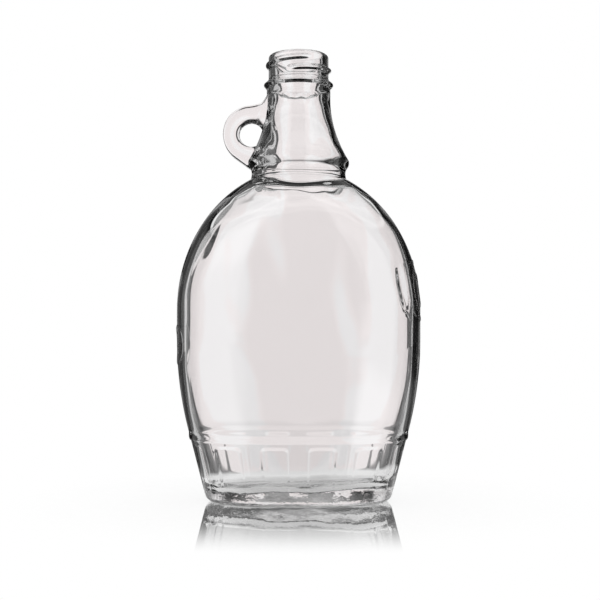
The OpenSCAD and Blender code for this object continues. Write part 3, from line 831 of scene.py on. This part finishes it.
def acrylic_floor():
    """White gloss acrylic sheet, cast and polished: to the eye a clean mirror image close to the flask that fades
    out into plain white, with the flask's faint shadow under it. Through the glass it glows instead with painted
    studio light and shade: painted shade of the dark cards round the flask and a painted shadow under it."""
    corners = [(-1, -1), (1, -1), (1, 1), (-1, 1)]
    floor = new_mesh(
        "studio_floor", np.array([[x * FLOOR_HALF, y * FLOOR_HALF, FLOOR_Z] for x, y in corners]),
        np.array([[0, 1, 2, 3]]),
    )
    material = bpy.data.materials.new("white_gloss_acrylic_floor")
    tree = empty_tree(material)
    place = add(tree, "ShaderNodeTexCoord")
    distance = add(tree, "ShaderNodeVectorMath", links=[("Vector", place.outputs["Object"])], operation="LENGTH")
    # The flask is broader than deep, so the floor's painted tones and its mirror image reach further to the sides
    squeezed = add(
        tree, "ShaderNodeMapping", links=[("Vector", place.outputs["Object"])], inputs=[("Scale", (0.8, 1.0, 1.0))],
    )
    squeezed_distance = add(
        tree, "ShaderNodeVectorMath", links=[("Vector", squeezed.outputs[0])], operation="LENGTH",
    )
    # Share of the painted card shade near the flask against the backdrop's tones painted further out
    round_flask = add(
        tree, "ShaderNodeMapRange", links=[("Value", distance.outputs["Value"])],
        inputs=[("From Min", ROUND_FLASK[0]), ("From Max", ROUND_FLASK[1]), ("To Min", 1.0), ("To Max", 0.0)],
    )
    tone, rays = surround(tree, squeezed.outputs[0], low=round_flask.outputs[0])
    painted_shadow_mask = add(
        tree, "ShaderNodeMapRange", links=[("Value", distance.outputs["Value"])],
        inputs=[("From Min", PAINTED_SHADOW_END[0]), ("From Max", PAINTED_SHADOW_END[1]), ("To Min", 1.0), ("To Max", 0.0)],
    )
    # Painted shadow under the flask, which the floor shows only to rays that came through the glass
    painted_shadow_ramp = add(tree, "ShaderNodeValToRGB", links=[("Fac", distance.outputs["Value"])], stops=PAINTED_SHADOW_TONES)
    tone = add(
        tree, "ShaderNodeMix", links=[(0, painted_shadow_mask.outputs[0]), (6, tone), (7, painted_shadow_ramp.outputs[0])], **BLEND,
    )
    # The floor glows with these painted tones for rays that came through the glass: painted light and shade
    painted_glow_through_glass = add(
        tree, "ShaderNodeEmission", links=[("Color", tone.outputs[2])], inputs=[("Strength", FLOOR_LIGHT)],
    )

    mirror_zone = add(
        tree, "ShaderNodeMapRange", links=[("Value", squeezed_distance.outputs["Value"])],
        inputs=[("From Min", MIRROR_ZONE[0]), ("From Max", MIRROR_ZONE[1]), ("To Min", 1.0), ("To Max", 0.0)],
        interpolation_type="SMOOTHSTEP",
    )
    white = add(tree, "ShaderNodeEmission", inputs=[("Color", WHITE)])
    lit = add(tree, "ShaderNodeBsdfDiffuse", inputs=[("Color", WHITE)])
    gloss = add(tree, "ShaderNodeBsdfGlossy", inputs=[("Color", WHITE), ("Roughness", 0.02)])
    sheet = add(
        tree, "ShaderNodeMixShader", inputs=[("Fac", GLOSS_SHARE)],
        links=[(1, lit.outputs[0]), (2, gloss.outputs[0])],
    )
    direct = add(
        tree, "ShaderNodeMixShader",
        links=[("Fac", mirror_zone.outputs[0]), (1, white.outputs[0]), (2, sheet.outputs[0])],
    )
    seen = add(
        tree, "ShaderNodeMixShader",
        links=[("Fac", rays.outputs["Is Camera Ray"]), (1, painted_glow_through_glass.outputs[0]), (2, direct.outputs[0])],
    )
    add(tree, "ShaderNodeOutputMaterial", links=[("Surface", seen.outputs[0])])
    floor.data.materials.append(material)


def studio_world():
    """Plain white for the camera, for the floor's own light and for all that the floor mirrors, and for what the
    flask's outer face mirrors from straight behind it. The rest of the glass sees the studio's tones."""
    world = bpy.data.worlds.new("studio_white")
    bpy.context.scene.world = world
    tree = empty_tree(world)
    way = add(tree, "ShaderNodeTexCoord")
    parts = add(tree, "ShaderNodeSeparateXYZ", links=[("Vector", way.outputs["Generated"])])
    up = add(tree, "ShaderNodeMath", links=[(0, parts.outputs["Z"])], operation="ARCSINE")
    share_up = add(tree, "ShaderNodeMath", links=[(0, up.outputs[0])], inputs=[(1, 2 / math.pi)], operation="MULTIPLY")
    tone, rays = surround(tree, way.outputs["Generated"], share_up.outputs[0])

    # The glass is perfectly sharp and the floor isn't quite, which tells their reflections apart
    ahead = add(
        tree, "ShaderNodeMapRange", links=[("Value", parts.outputs["Y"])],
        inputs=[("From Min", BEHIND[0]), ("From Max", BEHIND[1])],
    )
    off_floor = add(
        tree, "ShaderNodeMath", links=[(1, rays.outputs["Is Singular Ray"])], inputs=[(0, 1.0)], operation="SUBTRACT",
    )
    mirrored = add(
        tree, "ShaderNodeMath", links=[(0, ahead.outputs[0]), (1, off_floor.outputs[0])], operation="MAXIMUM",
    )
    outside = add(
        tree, "ShaderNodeMath", links=[(0, rays.outputs["Transmission Depth"])], inputs=[(1, 0.5)],
        operation="LESS_THAN",
    )
    mirrored = add(
        tree, "ShaderNodeMath", links=[(0, mirrored.outputs[0]), (1, outside.outputs[0])], operation="MULTIPLY",
    )
    direct = add(
        tree, "ShaderNodeMath", links=[(0, rays.outputs["Is Camera Ray"]), (1, rays.outputs["Is Diffuse Ray"])],
        operation="MAXIMUM",
    )
    plain = add(tree, "ShaderNodeMath", links=[(0, direct.outputs[0]), (1, mirrored.outputs[0])], operation="MAXIMUM")
    colour = add(
        tree, "ShaderNodeMix", links=[(0, plain.outputs[0]), (6, tone)], inputs=[(7, WHITE)], **BLEND,
    )
    light = add(tree, "ShaderNodeBackground", links=[("Color", colour.outputs[2])], inputs=[("Strength", 1.0)])
    add(tree, "ShaderNodeOutputWorld", links=[("Surface", light.outputs[0])])


# ---- Camera ----

FRAME = 0.250                          # metres of the axis plane that fill the frame
FRAME_MIDDLE = 0.0833                  # level of the frame's middle on that plane
CAMERA_AWAY = 0.450
CAMERA_UP = 0.067
CAMERA_RIGHT = 0.0006


def camera():
    """Level camera in front of the flask's axis, lower than the middle of the frame, which a small lens shift
    lifts."""
    data = bpy.data.cameras.new("camera")
    data.sensor_width = 36.0
    data.lens = data.sensor_width * CAMERA_AWAY / FRAME
    data.shift_y = (FRAME_MIDDLE - CAMERA_UP) / FRAME
    data.clip_start = 0.01
    thing = bpy.data.objects.new("camera", data)
    thing.location = (CAMERA_RIGHT, -CAMERA_AWAY, CAMERA_UP)
    thing.rotation_euler = (math.pi / 2, 0, 0)
    bpy.context.scene.collection.objects.link(thing)
    bpy.context.scene.camera = thing


camera()
acrylic_floor()
studio_world()

flask = build_flask()
flask.data.materials.clear()
flask.data.materials.append(flint_glass())
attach(flask, "root")
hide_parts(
    "base", "skirt", "ledge", "body", "shoulder", "neck_collar", "neck",
    "transfer_bead", "finish", "screw_thread", "finger_ring", "side_marks",
)

bpy.context.scene.view_settings.view_transform = "Standard"
